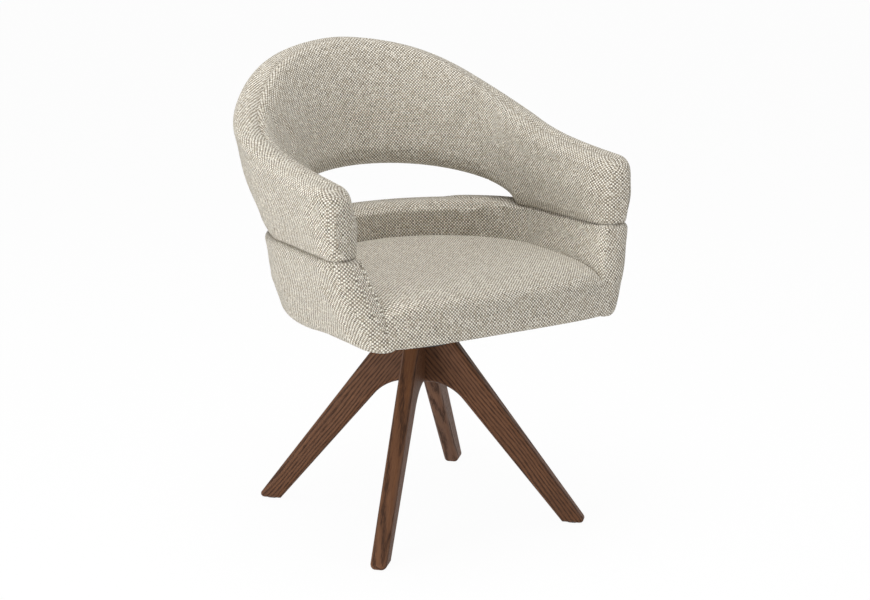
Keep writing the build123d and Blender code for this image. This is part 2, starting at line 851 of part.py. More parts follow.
with BuildPart() as seat_cushion:
    loft(sections=[cushion_section(*level) for level in cushion_levels])
    with BuildSketch(Plane.XY.offset(board_top_z + cushion_lift)):
        with Locations((0, rail_front_y - cushion_lift)):
            Rectangle(trim_size, trim_size, align=(Align.CENTER, Align.MIN))
    extrude(amount=wall_bottom_z - board_top_z, mode=Mode.SUBTRACT)
seat_cushion.part.label = "seat_cushion"
export_step(seat_cushion.part, "parts/seat_cushion.step")
print("cushion done")

# Lower wall and its frame

with BuildPart() as lower_frame:
    loft(sections=lower_frame_sections())
    add(pan_screws.part, mode=Mode.SUBTRACT)
    add(pan_screw_holes.part, mode=Mode.SUBTRACT)
    add(arm_studs.part, mode=Mode.SUBTRACT)
lower_frame.part.label = "lower_frame"
export_step(lower_frame.part, "parts/lower_frame.step")

with BuildPart() as frame_void:
    loft(sections=lower_frame_sections())

with BuildPart() as lower_wrap:
    loft(sections=wall_sections())
    with BuildSketch(Plane.XY.offset(joint_z)):
        Rectangle(trim_size, trim_size)
    extrude(amount=trim_height, mode=Mode.SUBTRACT)
    add(frame_void.part, mode=Mode.SUBTRACT)
    add(arm_studs.part, mode=Mode.SUBTRACT)
    extrude(
        pan_outline(-board_relief, rail_front_y - board_fit, wall_bottom_z),
        amount=board_top_z + board_fit - wall_bottom_z,
        mode=Mode.SUBTRACT,
    )
lower_wrap.part.label = "lower_wrap"
export_step(lower_wrap.part, "parts/lower_wrap.step")
print("lower wall done")

# Back and arm band and its frame

with BuildPart() as back_frame:
    loft(sections=back_frame_sections())
    add(arm_studs.part, mode=Mode.SUBTRACT)
back_frame.part.label = "back_frame"
export_step(back_frame.part, "parts/back_frame.step")

with BuildPart() as back_void:
    loft(sections=back_frame_sections())

with BuildPart() as back_band:
    loft(sections=band_sections())
    with BuildSketch(Plane.XY.offset(joint_z + joint_gap)):
        Rectangle(trim_size, trim_size)
    extrude(amount=-trim_height, mode=Mode.SUBTRACT)
    add(back_void.part, mode=Mode.SUBTRACT)
    add(arm_studs.part, mode=Mode.SUBTRACT)
back_band.part.label = "back_band"
export_step(back_band.part, "parts/back_band.step")
print("band done")
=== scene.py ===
import math

import bmesh
import bpy
import numpy as np
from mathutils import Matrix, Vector


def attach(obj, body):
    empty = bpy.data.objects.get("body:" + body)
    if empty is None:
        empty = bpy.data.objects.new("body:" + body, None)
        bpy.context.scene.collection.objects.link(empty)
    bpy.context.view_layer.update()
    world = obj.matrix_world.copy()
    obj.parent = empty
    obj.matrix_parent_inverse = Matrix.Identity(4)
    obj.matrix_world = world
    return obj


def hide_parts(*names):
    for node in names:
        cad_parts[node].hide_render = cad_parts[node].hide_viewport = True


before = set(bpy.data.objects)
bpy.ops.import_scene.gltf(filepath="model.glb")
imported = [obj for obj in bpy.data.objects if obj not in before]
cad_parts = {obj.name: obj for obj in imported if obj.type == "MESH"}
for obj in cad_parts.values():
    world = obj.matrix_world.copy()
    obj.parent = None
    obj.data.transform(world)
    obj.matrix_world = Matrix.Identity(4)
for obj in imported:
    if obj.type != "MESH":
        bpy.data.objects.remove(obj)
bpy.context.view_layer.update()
print("frame loaded")

mm = 0.001                   # sizes of the upholstery are in millimetres, its meshes in metres


# Upholstery lines. A plan line is a U seen from above: half width, rearmost y, y where the back
# begins to round, radius of that rounding, half width and y of the front end.

tub = {
    "wallLow": (254.5, 189.0, -59.0, 190.0, 241.0, -277.0),
    "wallHigh": (291.0, 190.0, -51.0, 200.0, 297.0, -232.0),
    "bandTop": (297.0, 293.0, 52.0, 194.0, 298.0, -233.0),
    "skin": 31.0,            # from the middle line of the padding to its outer face
    "wallFootZ": 377.6,
    "jointZ": 522.0,
    "jointLap": 1.6,
    "slotTopZ": 585.5,
    "slotHalf": 0.555,       # share of the tub that the slot under the back takes up
    "slotSharp": 0.8,
    "slotBack": 38.0,
    "bandFootIn": 8.5,
    "armZ": 631.0,
    "armRise": 38.0,
    "backRise": 141.0,
    "shoulder": 0.406,       # where the back comes down to the arms, and how gently
    "softness": 0.102,
    "crownSoft": 0.04,       # keeps the middle of the back's top edge round
}
lines = {
    "arcPoints": 400,
    "sidePoints": 200,
    "headingStep": 0.002,
    "cornerRoom": 0.8,       # the most that a rounded corner takes of the shorter side beside it
    "edgeRoom": 0.9,         # the most that the two roundings of an edge take of its width
    "noseSteps": 10,
}


def unit(vector):
    return vector / np.linalg.norm(vector)


def planLine(plan, inset):
    # dense points of the U, left front end first, and their distance along it
    halfWidth, backY, sideY, radius, frontHalf, frontY = plan
    halfWidth -= inset
    backY -= inset
    radius -= inset
    frontHalf -= inset
    rise = backY - sideY
    cornerX = halfWidth - radius
    backRadius = (rise**2 + cornerX**2 - radius**2) / (2 * (rise - radius))
    turn = math.atan2(sideY - backY + backRadius, cornerX)
    sweep = np.linspace(math.pi / 2, turn, lines["arcPoints"])
    back = np.column_stack((np.cos(sweep), np.sin(sweep))) * backRadius + (0, backY - backRadius)
    bend = np.linspace(turn, 0, lines["arcPoints"])
    corner = np.column_stack((np.cos(bend), np.sin(bend))) * radius + (cornerX, sideY)
    side = np.linspace(0, 1, lines["sidePoints"])[:, None]
    right = (halfWidth, sideY) + side * (frontHalf - halfWidth, frontY - sideY)
    half = np.vstack((back, corner[1:], right[1:]))
    points = np.vstack((half[:0:-1] * (-1, 1), half))
    steps = np.hypot(*np.diff(points, axis=0).T)
    return points, np.concatenate(([0], np.cumsum(steps)))


def along(line, share):
    points, distance = line
    at = share * distance[-1]
    return np.array([np.interp(at, distance, points[:, axis]) for axis in (0, 1)])


def outwardAt(line, share):
    step = lines["headingStep"]
    heading = unit(along(line, min(share + step, 1)) - along(line, max(share - step, 0)))
    return np.array((-heading[1], heading[0]))


wallLowLine = planLine(tub["wallLow"], tub["skin"])
wallHighLine = planLine(tub["wallHigh"], tub["skin"])
bandTopLine = planLine(tub["bandTop"], tub["skin"])


def slotRise(share):
    reach = 1 - (abs(2 * share - 1) / tub["slotHalf"]) ** 2
    return max(reach, 0) ** tub["slotSharp"]


def bandTopZ(share):
    away = math.hypot(2 * share - 1, tub["crownSoft"])
    shoulder = tub["backRise"] / (1 + math.exp((away - tub["shoulder"]) / tub["softness"]))
    return tub["armZ"] + tub["armRise"] * (1 - away) + shoulder


def wallEnds(share):
    low = np.append(along(wallLowLine, share), tub["wallFootZ"])
    return low, np.append(along(wallHighLine, share), tub["jointZ"])


def bandEnds(share):
    slot = slotRise(share)
    outward = tub["slotBack"] * slot - tub["bandFootIn"]
    low = along(wallHighLine, share) + outwardAt(wallHighLine, share) * outward
    armFootZ = tub["jointZ"] - tub["jointLap"]
    lowZ = armFootZ + (tub["slotTopZ"] - armFootZ) * slot
    return np.append(low, lowZ), np.append(along(bandTopLine, share), bandTopZ(share))


def cornerArc(before, corner, after, radius, count):
    # points of a rounded corner of a flat outline
    toBefore, toAfter = unit(before - corner), unit(after - corner)
    halfAngle = math.acos(np.clip(toBefore @ toAfter, -1, 1)) / 2
    shorter = min(np.linalg.norm(before - corner), np.linalg.norm(after - corner))
    reach = min(radius / math.tan(halfAngle), lines["cornerRoom"] * shorter)
    radius = reach * math.tan(halfAngle)
    centre = corner + unit(toBefore + toAfter) * radius / math.sin(halfAngle)
    start = corner + toBefore * reach - centre
    end = corner + toAfter * reach - centre
    first = math.atan2(start[1], start[0])
    swing = math.atan2(end[1], end[0]) - first
    swing = (swing + math.pi) % (2 * math.pi) - math.pi
    angles = first + swing * np.linspace(0, 1, count)
    return centre + radius * np.column_stack((np.cos(angles), np.sin(angles)))


def padSide(start, end, count, bulge=0.0):
    # points between two corners, both left out, pushed out to the right of the way they go
    shares = np.arange(1, count + 1) / (count + 1)
    way = end - start
    side = np.array((way[1], -way[0])) / max(np.linalg.norm(way), 1e-6)
    lift = bulge * (0.5 - 0.5 * np.cos(2 * math.pi * shares))
    return start + np.outer(shares, way) + np.outer(lift, side)


def padRing(low, high, out, size, counts):
    # one section of a pad: foot middle, up the outer side, over the top, down the inner side
    out = np.append(out, 0)
    lean = (high - low) @ out
    upward = high - low - out * lean
    half = np.linalg.norm(upward) / 2
    upward = upward / (2 * half)
    corners = np.array((
        (size["outLow"] - lean / 2, -half),
        (size["outHigh"] + lean / 2, half),
        (lean / 2 - size["inHigh"], half),
        (-lean / 2 - size["inLow"], -half),
    ))
    footRoom = (size["outLow"] + size["inLow"]) / (size["footOut"] + size["footIn"])
    topRoom = (size["outHigh"] + size["inHigh"]) / (size["topOut"] + size["topIn"])
    foot, top = (min(1.0, lines["edgeRoom"] * room) for room in (footRoom, topRoom))
    radii = (size["footOut"] * foot, size["topOut"] * top, size["topIn"] * top, size["footIn"] * foot)
    outLow, outHigh, inHigh, inLow = (
        cornerArc(corners[i - 1], corners[i], corners[(i + 1) % 4], radii[i], counts["corner"])
        for i in range(4))
    footMiddle = (inLow[-1] + outLow[0]) / 2
    topMiddle = (outHigh[-1] + inHigh[0]) / 2
    flat = np.vstack((
        footMiddle[None],
        padSide(footMiddle, outLow[0], counts["flat"]),
        outLow,
        padSide(outLow[-1], outHigh[0], counts["side"], size["bulgeOut"]),
        outHigh,
        padSide(outHigh[-1], topMiddle, counts["flat"]),
        topMiddle[None],
        padSide(topMiddle, inHigh[0], counts["flat"]),
        inHigh,
        padSide(inHigh[-1], inLow[0], counts["side"], size["bulgeIn"]),
        inLow,
        padSide(inLow[-1], footMiddle, counts["flat"]),
    ))
    return (low + high) / 2 + np.outer(flat[:, 0], out) + np.outer(flat[:, 1], upward)


def noseStations(length, nose, spacing):
    # shares along a line: close together round the ends, even between
    ends = nose * (1 - np.cos(np.linspace(0, math.pi / 2, lines["noseSteps"])))
    body = np.linspace(nose, length / 2, int((length / 2 - nose) / spacing))[1:]
    half = np.concatenate((ends, body)) / length
    return np.concatenate((half, 1 - half[-2::-1]))


def roundedOff(distance, radius):
    # how far a rounded end falls back at a distance from its tip
    if distance >= radius:
        return 0.0
    return radius * (1 - math.sqrt(max(0.0, 1 - (1 - distance / radius) ** 2)))


def blend(first, second, share):
    return first + (second - first) * share


# Covers: meshes with a map of their weave, swelled by their padding and sewn

covers = {
    "noseFacing": 0.72,      # faces that look along the tub by more than this carry the flat map
    "noseRings": 16,         # rings at each end that share one flat map
    "heldRings": 4,
    "frames": 20,
    "pressure": 4.0,
    "weight": 0.3,
    "mostGain": 8.0,         # the swelling is scaled by no more than this,
    "mostRise": 2.2,         # goes out by no more than this many times the wanted one,
    "mostSink": 0.2,         # and in by no more than this, so that corners stay round
    "shrink": 0.5,           # share of the wanted swelling that the starting shape leaves out
    # how far the seams are darkened: painted shade in their creases
    "uprightSeamShade": 0.35,
    "edgeSeamShade": 0.5,
    "seamTo": 0.9,           # the upright seams end at this share of the way round the pad
    "seamFadeOut": 10.0,
}


def clothMesh(name, verts, faces, uvs):
    mesh = bpy.data.meshes.new(name)
    mesh.from_pydata([tuple(v) for v in verts], [], faces)
    layer = mesh.uv_layers.new(name="cloth")
    layer.data.foreach_set("uv", np.asarray(uvs, dtype=np.float32).ravel())
    obj = bpy.data.objects.new(name, mesh)
    bpy.context.collection.objects.link(obj)
    return obj


def tubeMesh(name, rings, shares, counts, edgeSeam):
    # a closed skin through rings. Its weave runs along the tub and round the pad, and lies flat
    # on the front ends. Two measures at each point, along and round, serve the seams.
    rings = np.asarray(rings) * mm
    count, around = rings.shape[:2]
    steps = np.linalg.norm(np.diff(rings, axis=0), axis=2)
    alongMap = np.vstack((np.zeros((1, around)), np.cumsum(steps, axis=0)))
    alongMap -= alongMap[count // 2]
    closed = np.concatenate((rings, rings[:, :1]), axis=1)
    steps = np.linalg.norm(np.diff(closed, axis=1), axis=2)
    roundMap = np.hstack((np.zeros((count, 1)), np.cumsum(steps, axis=1)))
    roundMap -= roundMap[:, around // 2][:, None]
    # the weave is lined up on the middle of each side, and its two halves meet at the edge seam
    outer = counts["flat"] + counts["corner"] + counts["side"] // 2 + 1
    inner = around - outer
    outerRows = roundMap - (roundMap[:, outer] - rings[:, outer, 2])[:, None]
    innerRows = -roundMap + (roundMap[:, inner] + rings[:, inner, 2])[:, None]
    middles = rings.mean(axis=1)
    verts = rings.reshape(-1, 3)
    faces, uvs = [], []
    for i in range(count - 1):
        near = min(max(i, covers["noseRings"]), count - covers["noseRings"] - 2)
        ahead = unit(middles[near + 2] - middles[near])
        across = unit(np.array((-ahead[1], ahead[0], 0.0)))
        for j in range(around):
            k = (j + 1) % around
            corners = ((i, j), (i + 1, j), (i + 1, k), (i, k))
            faces.append(tuple(a * around + b for a, b in corners))
            spots = [rings[a, b] for a, b in corners]
            normal = np.cross(spots[2] - spots[0], spots[3] - spots[1])
            facing = abs(normal @ ahead) / max(np.linalg.norm(normal), 1e-12)
            if facing > covers["noseFacing"]:
                uvs.extend((spot @ across, spot[2]) for spot in spots)
            else:
                isInner = roundMap[i, j] > edgeSeam * mm
                rows, middle = (innerRows, inner) if isInner else (outerRows, outer)
                uvs.extend((alongMap[a, middle], rows[a, j + (b != j)]) for a, b in corners)
    for i in (0, count - 1):
        for j in range(around // 2):
            ring = (j, j + 1, around - j - 1, (around - j) % around)
            corners = [i * around + k for k in dict.fromkeys(ring)]
            if i:
                corners.reverse()
            faces.append(tuple(corners))
            uvs.extend((verts[c] @ across, verts[c][2]) for c in corners)
    obj = clothMesh(name, verts, faces, uvs)
    store(obj.data, "share", np.repeat(shares, around))
    store(obj.data, "round", roundMap[:, :around].ravel() / mm)
    smoothOut(obj)
    return obj


def store(mesh, name, values):
    layer = mesh.attributes.get(name) or mesh.attributes.new(name, "FLOAT", "POINT")
    layer.data.foreach_set("value", np.asarray(values, dtype=np.float32))


def read(mesh, name):
    values = np.empty(len(mesh.vertices), dtype=np.float32)
    mesh.attributes[name].data.foreach_get("value", values)
    return values


def vectors(mesh, name):
    values = np.empty(len(mesh.vertices) * 3, dtype=np.float32)
    mesh.vertices.foreach_get(name, values)
    return values.reshape(-1, 3).astype(float)


def place(mesh, points):
    mesh.vertices.foreach_set("co", points.astype(np.float32).ravel())
    mesh.update()


def heldPoints(rings, counts):
    # the foot of the pad and its front ends stay where they are
    count, around = len(rings), len(rings[0])
    ring, turn = np.divmod(np.arange(count * around), around)
    foot = counts["flat"] + 2
    atEnds = (ring < covers["heldRings"]) | (ring >= count - covers["heldRings"])
    return atEnds | (turn <= foot) | (turn >= around - foot)


def settle(obj, held, swell):
    # the cover under a little pressure from its padding: cloth, run and then kept as it is
    before = vectors(obj.data, "co")
    outward = vectors(obj.data, "normal")
    group = obj.vertex_groups.new(name="held")
    group.add([int(i) for i in np.flatnonzero(held)], 1.0, "REPLACE")
    modifier = obj.modifiers.new("settle", "CLOTH")
    settings = modifier.settings
    settings.quality = 5
    settings.mass = covers["weight"]
    settings.use_pressure = True
    settings.uniform_pressure_force = covers["pressure"]
    settings.vertex_group_mass = "held"
    settings.effector_weights.gravity = 0.0
    modifier.collision_settings.use_collision = False
    scene = bpy.context.scene
    for frameNumber in range(1, covers["frames"] + 1):
        scene.frame_set(frameNumber)
    evaluated = obj.evaluated_get(bpy.context.evaluated_depsgraph_get())
    moved = vectors(evaluated.data, "co") - before
    obj.modifiers.remove(modifier)
    scene.frame_set(1)
    # straight out only, so that the weave keeps its place
    rise = (moved * outward).sum(axis=1)
    usual = np.median(rise[~held])
    gain = min(swell * mm / max(usual, 1e-6), covers["mostGain"])
    lift = np.clip(rise * gain, -covers["mostSink"] * mm, covers["mostRise"] * swell * mm)
    place(obj.data, before + outward * lift[:, None])
    obj.vertex_groups.clear()
    print(obj.name, "swelled, in mm:", round(usual / mm, 2), "scaled by", round(gain, 2))


def refine(obj):
    modifier = obj.modifiers.new("refine", "SUBSURF")
    modifier.levels = modifier.render_levels = 1
    bpy.ops.object.select_all(action="DESELECT")
    bpy.context.view_layer.objects.active = obj
    obj.select_set(True)
    bpy.ops.object.modifier_apply(modifier="refine")


def sew(obj, depth, dark):
    # presses seams in along the normals and stores how much painted shade the cloth gets in their
    # creases
    place(obj.data, vectors(obj.data, "co") - vectors(obj.data, "normal") * (depth * mm)[:, None])
    store(obj.data, "seam", dark)


def groove(distance, width):
    return np.exp(-((distance / width) ** 2))


def fade(distance, reach):
    return np.clip(distance / reach, 0, 1)


def byUpright(obj, pad, lineLength):
    # the points of the inner side that its upright seams hold
    share, way = read(obj.data, "share"), read(obj.data, "round")
    fromSeam = np.abs(np.abs(share - 0.5) - pad["seamShare"]) * lineLength
    return (way > pad["insideFrom"]) & (fromSeam < pad["seamHeld"])


def uprightSeams(share, way, pad, lineLength):
    # how much of an upright seam there is at each point, 0 to 1
    seams = groove((np.abs(share - 0.5) - pad["seamShare"]) * lineLength, pad["seamWidth"])
    seams *= fade(way - pad["seamFrom"], pad["seamFadeIn"])
    return seams * fade(way.max() * covers["seamTo"] - way, covers["seamFadeOut"])


def smoothOut(obj):
    # faces outwards, shaded smooth
    bm = bmesh.new()
    bm.from_mesh(obj.data)
    if bm.calc_volume(signed=True) < 0:
        bmesh.ops.reverse_faces(bm, faces=bm.faces)
    bm.to_mesh(obj.data)
    bm.free()
    obj.data.polygons.foreach_set("use_smooth", [True] * len(obj.data.polygons))
    obj.data.update()


# Back and arm band

bandPad = {
    "thickness": 62.0,
    "crown": 5.0,
    "topOut": 17.0,
    "topIn": 18.0,
    "topInFront": 28.0,
    "topInReach": 90.0,      # how far from the front the rounder inner edge goes
    "jointEdge": 9.0,
    "slotEdge": 22.0,
    "armCorner": 38.0,
    "footCorner": 16.0,
    "nose": 31.0,
    "noseIn": 44.0,
    "spacing": 7.0,
    "counts": {"corner": 9, "side": 20, "flat": 4},
    "swell": 1.6,
    "insideFrom": 6.0,       # the inner side begins this far from the middle of the top edge
    "seamShare": 0.205,      # upright seams of the inner back, from its middle
    "seamDepth": 0.6,
    "seamWidth": 2.6,
    "seamHeld": 4.0,
    "seamFrom": 12.0,        # where these seams begin, from the middle of the top edge
    "seamFadeIn": 3.0,
    "edgeSeam": 12.0,        # seam along the inner side of the top edge, from its middle
    "edgeSeamDepth": 0.9,
    "edgeSeamWidth": 2.4,
    "edgeSeamEnd": 30.0,
    "edgeSeamFreeRings": 9,  # rings at each front end where the cloth run doesn't hold that seam
    "pucker": 0.55,
    "puckerPitch": 17.0,
    "puckerWidth": 9.0,
    "puckerOffset": 4.0,
    "puckerFrom": 0.16,      # the puckers begin this far round from the middle of the back
    "puckerFade": 0.08,
    "puckerStray": 2.2,      # how uneven they are, and how often that changes
    "puckerChange": 37.0,
    "leastThick": 2.0,
}


def bandRing(share, lineLength):
    low, high = bandEnds(share)
    distance = min(share, 1 - share) * lineLength
    way = unit(high - low)
    low = low + way * roundedOff(distance, bandPad["footCorner"])
    high = high - way * roundedOff(distance, bandPad["armCorner"])
    edge = blend(bandPad["jointEdge"], bandPad["slotEdge"], slotRise(share))
    shrink = bandPad["swell"] * covers["shrink"]
    inner = bandPad["thickness"] - tub["skin"] - roundedOff(distance, bandPad["noseIn"]) - shrink
    outer = tub["skin"] - roundedOff(distance, bandPad["nose"]) - shrink
    outer = max(outer, bandPad["leastThick"] - inner)
    nearFront = math.exp(-distance / bandPad["topInReach"])
    size = {
        "outLow": outer, "outHigh": outer, "inLow": inner, "inHigh": inner,
        "footOut": edge, "footIn": edge, "topOut": bandPad["topOut"],
        "topIn": blend(bandPad["topIn"], bandPad["topInFront"], nearFront),
        "bulgeOut": bandPad["crown"], "bulgeIn": bandPad["crown"],
    }
    return padRing(low, high, outwardAt(bandTopLine, share), size, bandPad["counts"])


def makeBand():
    lineLength = bandTopLine[1][-1]
    shares = noseStations(lineLength, bandPad["nose"], bandPad["spacing"])
    rings = [bandRing(share, lineLength) for share in shares]
    obj = tubeMesh("bandCover", rings, shares, bandPad["counts"], bandPad["edgeSeam"])
    held = heldPoints(rings, bandPad["counts"]) | byUpright(obj, bandPad, lineLength)
    ring = np.repeat(np.arange(len(rings)), len(rings[0]))
    free = bandPad["edgeSeamFreeRings"]
    alongEdge = (ring >= free) & (ring < len(rings) - free)
    fromEdge = read(obj.data, "round") - bandPad["edgeSeam"]
    held |= (np.abs(fromEdge) < bandPad["seamWidth"]) & alongEdge
    settle(obj, held, bandPad["swell"])
    refine(obj)
    share, way = read(obj.data, "share"), read(obj.data, "round")
    away, fromEdge = np.abs(share - 0.5), way - bandPad["edgeSeam"]
    upright = uprightSeams(share, way, bandPad, lineLength)
    endFade = fade((0.5 - away) * lineLength, bandPad["edgeSeamEnd"])
    edge = groove(fromEdge, bandPad["edgeSeamWidth"]) * endFade
    waves = share * lineLength * 2 * math.pi / bandPad["puckerPitch"]
    ruffle = np.sin(waves + bandPad["puckerStray"] * np.sin(share * bandPad["puckerChange"]))
    ruffle *= groove(fromEdge - bandPad["puckerOffset"], bandPad["puckerWidth"]) * endFade
    ruffle *= fade(away - bandPad["puckerFrom"], bandPad["puckerFade"])
    depth = bandPad["seamDepth"] * upright + bandPad["edgeSeamDepth"] * edge
    # painted shade in the seam creases, in step with how deep they are pressed
    dark = covers["uprightSeamShade"] * upright + covers["edgeSeamShade"] * edge
    sew(obj, depth + bandPad["pucker"] * ruffle, np.clip(dark, 0, 1))
    return obj


# Low wall round the seat

wallPad = {
    "thickLow": 50.0,
    "thickHigh": 64.0,
    "crownOut": 5.0,
    "crownIn": 2.0,
    "footOut": 36.0,
    "footFront": 14.0,
    "footReach": 120.0,      # how far from the front the sharper foot goes
    "footIn": 10.0,
    "jointEdge": 9.0,
    "slotEdge": 20.0,
    "noseLow": 46.0,
    "noseHigh": 35.0,
    "noseIn": 5.0,
    "footCorner": 14.0,
    "topCorner": 10.0,
    "spacing": 7.0,
    "counts": {"corner": 9, "side": 18, "flat": 4},
    "swell": 1.5,
    "insideFrom": 6.0,
    "mapSeam": 8.0,          # where the weave of the inner side begins, from the top's middle
    "seamShare": 0.215,
    "seamDepth": 0.6,
    "seamWidth": 2.6,
    "seamHeld": 4.0,
    "seamFrom": 4.0,
    "seamFadeIn": 6.0,
    "leastThick": 3.0,
}


def wallRing(share, lineLength):
    low, high = wallEnds(share)
    distance = min(share, 1 - share) * lineLength
    edge = blend(wallPad["jointEdge"], wallPad["slotEdge"], slotRise(share))
    shrink = wallPad["swell"] * covers["shrink"]
    outLow = tub["skin"] - roundedOff(distance, wallPad["noseLow"]) - shrink
    outHigh = tub["skin"] - roundedOff(distance, wallPad["noseHigh"]) - shrink
    innerLoss = tub["skin"] + roundedOff(distance, wallPad["noseIn"]) + shrink
    innerLow = wallPad["thickLow"] - innerLoss
    innerHigh = wallPad["thickHigh"] - innerLoss
    way = unit(high - low)
    low = low + way * roundedOff(distance, wallPad["footCorner"])
    high = high - way * roundedOff(distance, wallPad["topCorner"])
    nearFront = math.exp(-distance / wallPad["footReach"])
    least = wallPad["leastThick"]
    size = {
        "outLow": max(outLow, least - innerLow), "outHigh": max(outHigh, least - innerHigh),
        "inLow": innerLow, "inHigh": innerHigh,
        "footOut": blend(wallPad["footOut"], wallPad["footFront"], nearFront),
        "footIn": wallPad["footIn"], "topOut": edge, "topIn": edge,
        "bulgeOut": wallPad["crownOut"], "bulgeIn": wallPad["crownIn"],
    }
    return padRing(low, high, outwardAt(wallLowLine, share), size, wallPad["counts"])


def makeWall():
    lineLength = wallLowLine[1][-1]
    shares = noseStations(lineLength, wallPad["noseLow"], wallPad["spacing"])
    rings = [wallRing(share, lineLength) for share in shares]
    obj = tubeMesh("wallCover", rings, shares, wallPad["counts"], wallPad["mapSeam"])
    held = heldPoints(rings, wallPad["counts"]) | byUpright(obj, wallPad, lineLength)
    settle(obj, held, wallPad["swell"])
    refine(obj)
    share, way = read(obj.data, "share"), read(obj.data, "round")
    upright = uprightSeams(share, way, wallPad, lineLength)
    # the seams are pressed in and darkened with painted shade in their creases
    sew(obj, wallPad["seamDepth"] * upright, covers["uprightSeamShade"] * upright)
    return obj


bandCover = makeBand()
wallCover = makeWall()
print("band and wall", len(bandCover.data.polygons), len(wallCover.data.polygons))


# Seat cushion

seatPad = {
    "columns": 89,
    "columnPull": 0.55,      # how far the columns are drawn towards the sides
    "facingRows": 10,
    "rollRows": 34,
    "backRows": 52,
    "crownZ": 469.5,
    "rollZ": 424.0,          # the front edge rolls over from here
    "rollLength": 138.0,
    "rollPower": 2.7,
    "footZ": 380.5,
    "footCurve": ((0.0, 8.0), (0.84, 3.4), (2.8, 1.2), (5.6, 0.2)),  # up from the foot, and in
    "facingZ": 390.0,
    "frontY": -283.0,
    "frontLean": 0.10,       # the front leans back above this height
    "frontLeanZ": 405.0,
    "frontBow": 3.2,
    "endLift": 3.0,
    "endLiftPower": 8,
    "rimZ": 448.0,           # height at which the wall's inner face is the cushion's outline
    "edgeDrop": 9.0,         # how much lower the cushion comes towards the wall
    "edgeReach": 75.0,
    "edgePower": 2.4,
    "tuckDrop": 9.0,
    "tuckReach": 9.0,
    "tuckPower": 2.2,
    "dropFade": 25.0,        # the drop fades in over this height above the roll's foot
    "dip": 1.5,              # the foam settles a little more where it is sat on
    "dipY": -60.0,
    "dipReach": (120.0, 110.0),
    "swell": 2.5,
    "restZ": 402.0,
    "behindY": -251.0,
    "hangIn": 0.99,          # how far the hidden faces underneath are drawn in
    "restIn": 0.985,
    "heldRows": 2,
}


def wallInside(z):
    # the wall's inner face at a height, as a plan line
    share = (z - tub["wallFootZ"]) / (tub["jointZ"] - tub["wallFootZ"])
    plan = tuple(blend(a, b, share) for a, b in zip(tub["wallLow"], tub["wallHigh"]))
    return planLine(plan, blend(wallPad["thickLow"], wallPad["thickHigh"], share))[0]


def seatGrid():
    # the visible skin: strips from the foot of the front, over its roll and back to the wall
    rim = wallInside(seatPad["rimZ"])
    rightHalf = rim[len(rim) // 2:]
    width = rightHalf[:, 0].max()
    sideY = tub["wallHigh"][2]
    lowY, highY = tub["wallLow"][5], tub["wallHigh"][5]
    front = rightHalf[rightHalf[:, 1] < sideY][::-1]
    footZ, rollZ, crownZ = seatPad["footZ"], seatPad["rollZ"], seatPad["crownZ"]

    def halfWidth(y):
        return np.interp(y, front[:, 1], front[:, 0]) if y < sideY else width

    def frontLine(k, z):
        # follows the front of the wall at its ends and bows forward between them
        tip = blend(lowY, highY, (z - tub["wallFootZ"]) / (tub["jointZ"] - tub["wallFootZ"]))
        middle = seatPad["frontY"] + max(0.0, z - seatPad["frontLeanZ"]) * seatPad["frontLean"]
        return blend(tip, middle, 1 - abs(k) ** seatPad["frontBow"])

    even = np.linspace(-1, 1, seatPad["columns"])
    columns = blend(even, np.sin(even * math.pi / 2), seatPad["columnPull"])
    facing = [(footZ + up, back) for up, back in seatPad["footCurve"]]
    facing += [(z, 0.0) for z in np.linspace(seatPad["facingZ"], rollZ, seatPad["facingRows"])]
    rollShares = 1 - np.cos(np.linspace(0, math.pi / 2, seatPad["rollRows"])[1:])
    backShares = np.linspace(0, 1, seatPad["backRows"])[1:]
    power = seatPad["rollPower"]
    grid = []
    for k in columns:
        strip = []
        endLift = seatPad["endLift"] * abs(k) ** seatPad["endLiftPower"]
        for z, back in facing:
            y = frontLine(k, z) + back
            lift = endLift * (rollZ - z) / (rollZ - footZ)
            strip.append((k * halfWidth(y), y, z + lift))
        frontY = frontLine(k, rollZ)
        for share in rollShares:
            y = frontY + share * seatPad["rollLength"]
            z = blend(rollZ, crownZ, (1 - (1 - share) ** power) ** (1 / power))
            strip.append((k * halfWidth(y), y, z))
        start = frontY + seatPad["rollLength"]
        backY = max(np.interp(abs(k) * width, rightHalf[:, 0], rightHalf[:, 1]), sideY)
        for share in backShares:
            y = blend(start, backY, share)
            strip.append((k * halfWidth(y), y, crownZ))
        grid.append(strip)
    grid = np.array(grid)
    # the sides and back roll down to the wall
    flat = grid.reshape(-1, 3)
    gap = np.array([np.min(np.hypot(*(rim[::4] - point[:2]).T)) for point in flat])
    drop = np.zeros(len(flat))
    for part in ("edge", "tuck"):
        near = 1 - fade(gap, seatPad[part + "Reach"])
        drop += seatPad[part + "Drop"] * near ** seatPad[part + "Power"]
    wide, deep = seatPad["dipReach"]
    drop += seatPad["dip"] * groove(flat[:, 0], wide) * groove(flat[:, 1] - seatPad["dipY"], deep)
    flat[:, 2] -= drop * fade(flat[:, 2] - rollZ, seatPad["dropFade"])
    return grid, len(facing)


